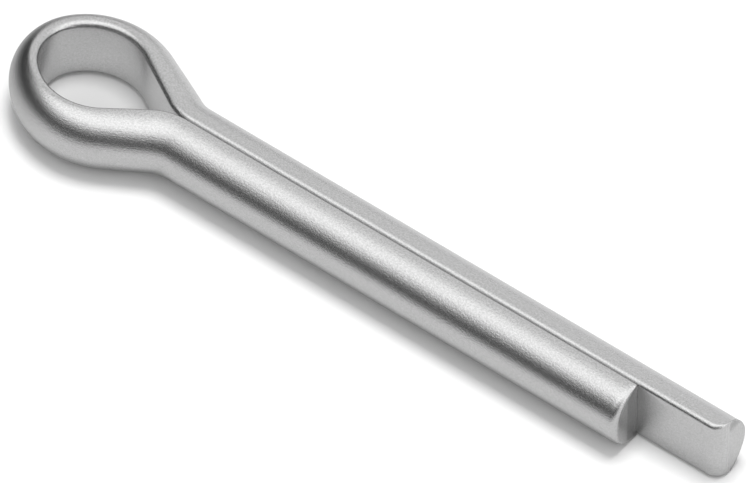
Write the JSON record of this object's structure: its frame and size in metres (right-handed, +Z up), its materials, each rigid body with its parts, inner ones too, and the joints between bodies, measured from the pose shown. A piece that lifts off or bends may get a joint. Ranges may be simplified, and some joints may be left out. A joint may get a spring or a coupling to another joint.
{
  "type": "cotter pin",
  "caption": "Cotter pin bent from half-round wire, with a teardrop eye, a round closed shank and an extended prong.",
  "frame": {"origin": "on the shank's axis, where the closed shank starts behind the eye", "axes": "+X along the shank to the tips; +Y towards the long leg; +Z up, square to the level plane of the eye"},
  "size_m": [0.0594, 0.0113, 0.0056],
  "materials": {
    "plated_wire": "bright zinc plate over drawn steel wire, satin gloss, with fine drawing lines along the wire"
  },
  "bodies": {
    "root": {"cotter_pin": "plated_wire"}
  },
  "joints": []
}
